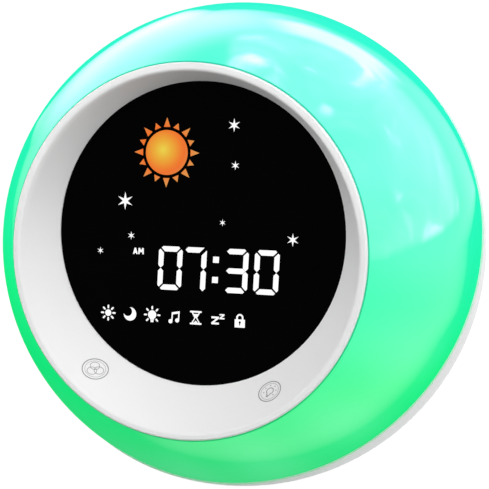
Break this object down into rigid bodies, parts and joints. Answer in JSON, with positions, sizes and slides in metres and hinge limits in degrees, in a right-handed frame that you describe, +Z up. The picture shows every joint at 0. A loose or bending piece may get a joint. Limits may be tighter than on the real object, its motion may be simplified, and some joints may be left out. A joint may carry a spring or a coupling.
{
  "type": "kids alarm clock with night light",
  "caption": "Ball-shaped bedside alarm clock with a dished round display, a translucent colour lamp dome, rear keys, speaker, battery bay and power inlet",
  "frame": {"origin": "centre of the foot pad's underside, where the clock stands on the table", "axes": "+Z up, the face looks towards -Y and the keys are on the +Y side; +X is to the right of someone who looks at the face"},
  "size_m": [0.145, 0.1083, 0.1412],
  "materials": {
    "dome_plastic": "gloss",
    "white_plastic": "satin",
    "inner_white": "matte",
    "dark_lens": "gloss",
    "picture_film": "matte",
    "board_green": "satin",
    "chip_white": "matte",
    "chip_black": "matte",
    "connector": "matte",
    "steel": "brushed",
    "spring_steel": "polished",
    "key_plastic": "satin",
    "rubber_grey": "matte",
    "foam": "matte",
    "magnet": "matte",
    "paper": "matte",
    "cell_label": "satin"
  },
  "bodies": {
    "housing": {"battery_cells": "cell_label", "battery_contacts": "spring_steel", "battery_springs": "spring_steel", "board_chips": "chip_black", "board_connectors": "connector", "colour_lights": "chip_white", "display_board": "board_green", "display_leds": "chip_white", "display_lens": "dark_lens", "display_screws": "steel", "face_bezel": "white_plastic", "foot_pad": "rubber_grey", "housing_screws": "steel", "key_board": "board_green", "key_board_screws": "steel", "lamp_dome": "dome_plastic", "light_board": "board_green", "light_board_screws": "steel", "light_chassis": "inner_white", "main_board": "board_green", "main_board_screws": "steel", "picture_film": "picture_film", "rear_shell": "white_plastic", "segment_lightbox": "inner_white", "speaker_cone": "paper", "speaker_frame": "steel", "speaker_gasket": "foam", "speaker_magnet": "magnet", "speaker_screws": "steel", "tact_switches": "chip_black", "touch_springs": "spring_steel", "usb_board": "board_green", "usb_board_screws": "steel", "usb_socket": "steel"},
    "battery_door": {"battery_door": "white_plastic"},
    "key_alarm": {"key_alarm": "key_plastic", "key_alarm_plunger": "chip_white"},
    "key_time": {"key_time": "key_plastic", "key_time_plunger": "chip_white"},
    "key_up": {"key_up": "key_plastic", "key_up_plunger": "chip_white"},
    "key_down": {"key_down": "key_plastic", "key_down_plunger": "chip_white"},
    "key_snooze": {"key_snooze": "key_plastic", "key_snooze_plunger": "chip_white"}
  },
  "joints": [
    {"name": "key_alarm_press", "type": "slide", "parent": "housing", "child": "key_alarm", "axis": [0, -1, 0], "range_m": [0, 0.0006], "stiffness_N_per_m": 2500},
    {"name": "key_time_press", "type": "slide", "parent": "housing", "child": "key_time", "axis": [0, -1, 0], "range_m": [0, 0.0006], "stiffness_N_per_m": 2500},
    {"name": "key_up_press", "type": "slide", "parent": "housing", "child": "key_up", "axis": [0, -1, 0], "range_m": [0, 0.0006], "stiffness_N_per_m": 2500},
    {"name": "key_down_press", "type": "slide", "parent": "housing", "child": "key_down", "axis": [0, -1, 0], "range_m": [0, 0.0006], "stiffness_N_per_m": 2500},
    {"name": "key_snooze_press", "type": "slide", "parent": "housing", "child": "key_snooze", "axis": [0, -1, 0], "range_m": [0, 0.0006], "stiffness_N_per_m": 2500},
    {"name": "battery_door_slide", "type": "slide", "parent": "housing", "child": "battery_door", "axis": [0, 0, -1], "range_m": [0, 0.012]}
  ]
}
